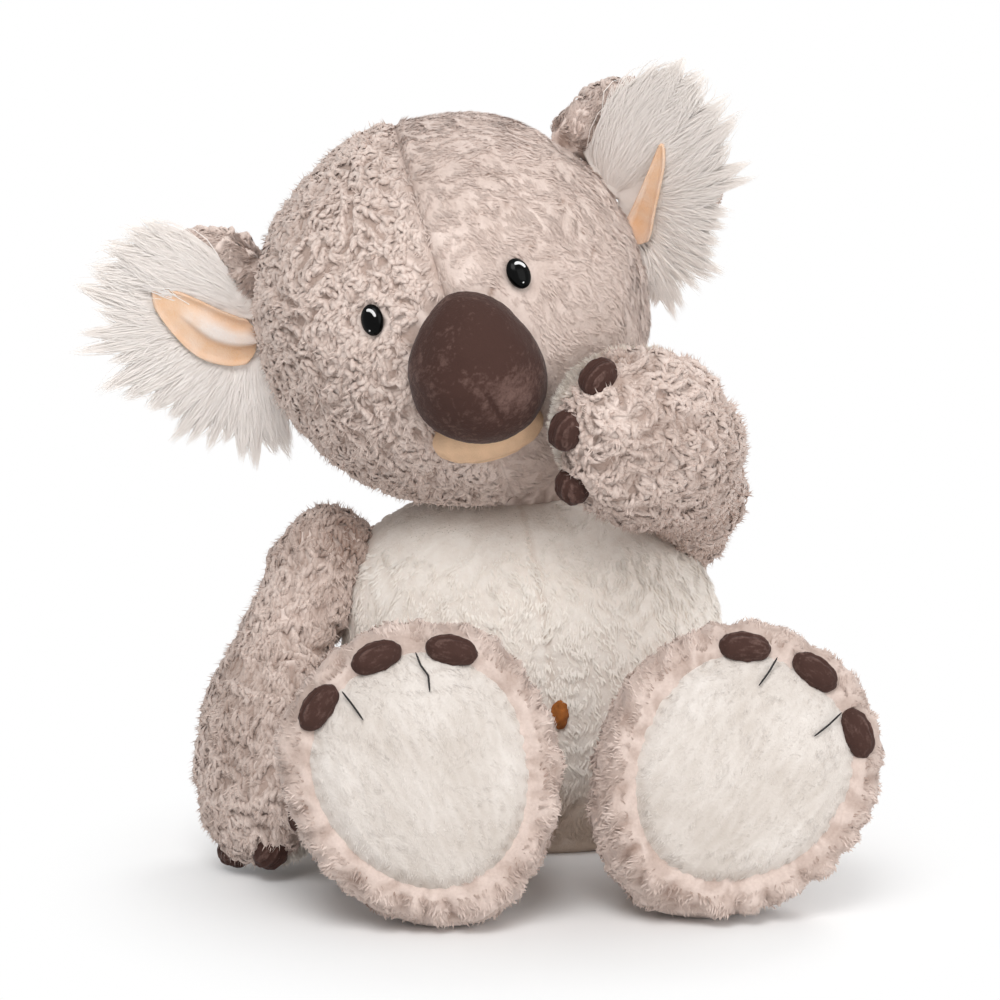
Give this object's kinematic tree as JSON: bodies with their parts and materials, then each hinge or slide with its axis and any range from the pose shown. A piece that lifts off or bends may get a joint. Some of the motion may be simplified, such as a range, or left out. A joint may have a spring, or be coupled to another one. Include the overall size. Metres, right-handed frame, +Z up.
{
  "type": "plush koala",
  "caption": "Seated plush koala with a tilting head, long-haired ears, one raised paw, one hanging arm and broad soles that face forward.",
  "frame": {"origin": "on the floor under the middle of the seat", "axes": "+Z up, the koala faces -Y, its own left is at +X"},
  "size_m": [0.2788, 0.1977, 0.305],
  "materials": {
    "taupe_plush": "curly plush pile",
    "white_plush": "short plush pile",
    "sole_plush": "short brushed plush",
    "long_white_pile": "long straight pile",
    "peach_felt": "felt",
    "nose_velour": "velour",
    "claw_velour": "velour",
    "eye_gloss": "polished plastic",
    "navel_felt": "felt",
    "stuffing": "polyester fibre fill",
    "pellet_cloth": "woven bag of pellets"
  },
  "bodies": {
    "torso": {"belly_panel": "white_plush", "back_panel": "taupe_plush", "torso_stuffing": "stuffing", "seat_pellet_bag": "pellet_cloth", "navel_patch": "navel_felt"},
    "neck": {"neck_stuffing": "stuffing"},
    "head": {"head_panel_left": "taupe_plush", "head_panel_right": "taupe_plush", "head_stuffing": "stuffing", "nose_cover": "nose_velour", "nose_stuffing": "stuffing", "lower_lip": "peach_felt", "eye_left": "eye_gloss", "eye_right": "eye_gloss"},
    "ear_left": {"ear_back_left": "taupe_plush", "ear_front_left": "long_white_pile", "ear_lining_left": "peach_felt"},
    "arm_left": {"arm_skin_left": "taupe_plush", "palm_pad_left": "white_plush", "arm_stuffing_left": "stuffing", "arm_claw_left_1": "claw_velour", "arm_claw_left_2": "claw_velour", "arm_claw_left_3": "claw_velour"},
    "leg_left": {"leg_skin_left": "taupe_plush", "sole_pad_left": "sole_plush", "leg_stuffing_left": "stuffing", "foot_claw_left_1": "claw_velour", "foot_claw_left_2": "claw_velour", "foot_claw_left_3": "claw_velour"},
    "ear_right": {"ear_back_right": "taupe_plush", "ear_front_right": "long_white_pile", "ear_lining_right": "peach_felt"},
    "arm_right": {"arm_skin_right": "taupe_plush", "palm_pad_right": "white_plush", "arm_stuffing_right": "stuffing", "arm_claw_right_1": "claw_velour", "arm_claw_right_2": "claw_velour", "arm_claw_right_3": "claw_velour"},
    "leg_right": {"leg_skin_right": "taupe_plush", "sole_pad_right": "sole_plush", "leg_stuffing_right": "stuffing", "foot_claw_right_1": "claw_velour", "foot_claw_right_2": "claw_velour", "foot_claw_right_3": "claw_velour"}
  },
  "joints": [
    {"name": "neck_nod", "type": "hinge", "parent": "torso", "child": "neck", "pos_m": [-0.012, -0.007, 0.1355], "axis": [1, 0, 0], "range_deg": [-8, 5]},
    {"name": "head_tilt", "type": "hinge", "parent": "neck", "child": "head", "pos_m": [-0.012, -0.007, 0.1355], "axis": [0, 1, 0], "range_deg": [-6, 3]},
    {"name": "ear_flap_left", "type": "hinge", "parent": "head", "child": "ear_left", "pos_m": [0.03524, -0.01849, 0.24229], "axis": [-0.4378, -0.1806, 0.8808], "range_deg": [-20, 20]},
    {"name": "ear_flap_right", "type": "hinge", "parent": "head", "child": "ear_right", "pos_m": [-0.11435, -0.00819, 0.20426], "axis": [-0.0653, -0.2234, 0.9725], "range_deg": [-20, 20]},
    {"name": "shoulder_swing_right", "type": "hinge", "parent": "torso", "child": "arm_right", "pos_m": [-0.08089, -0.00345, 0.108], "axis": [0, 1, 0], "range_deg": [0, 45]},
    {"name": "shoulder_swing_left", "type": "hinge", "parent": "torso", "child": "arm_left", "pos_m": [0.05243, -0.00467, 0.122], "axis": [0, 0, 1], "range_deg": [0, 50]},
    {"name": "hip_swing_right", "type": "hinge", "parent": "torso", "child": "leg_right", "pos_m": [-0.044, -0.05053, 0.036], "axis": [1, 0, 0], "range_deg": [-8, 30]},
    {"name": "hip_swing_left", "type": "hinge", "parent": "torso", "child": "leg_left", "pos_m": [0.044, -0.04947, 0.036], "axis": [1, 0, 0], "range_deg": [-8, 30]}
  ]
}
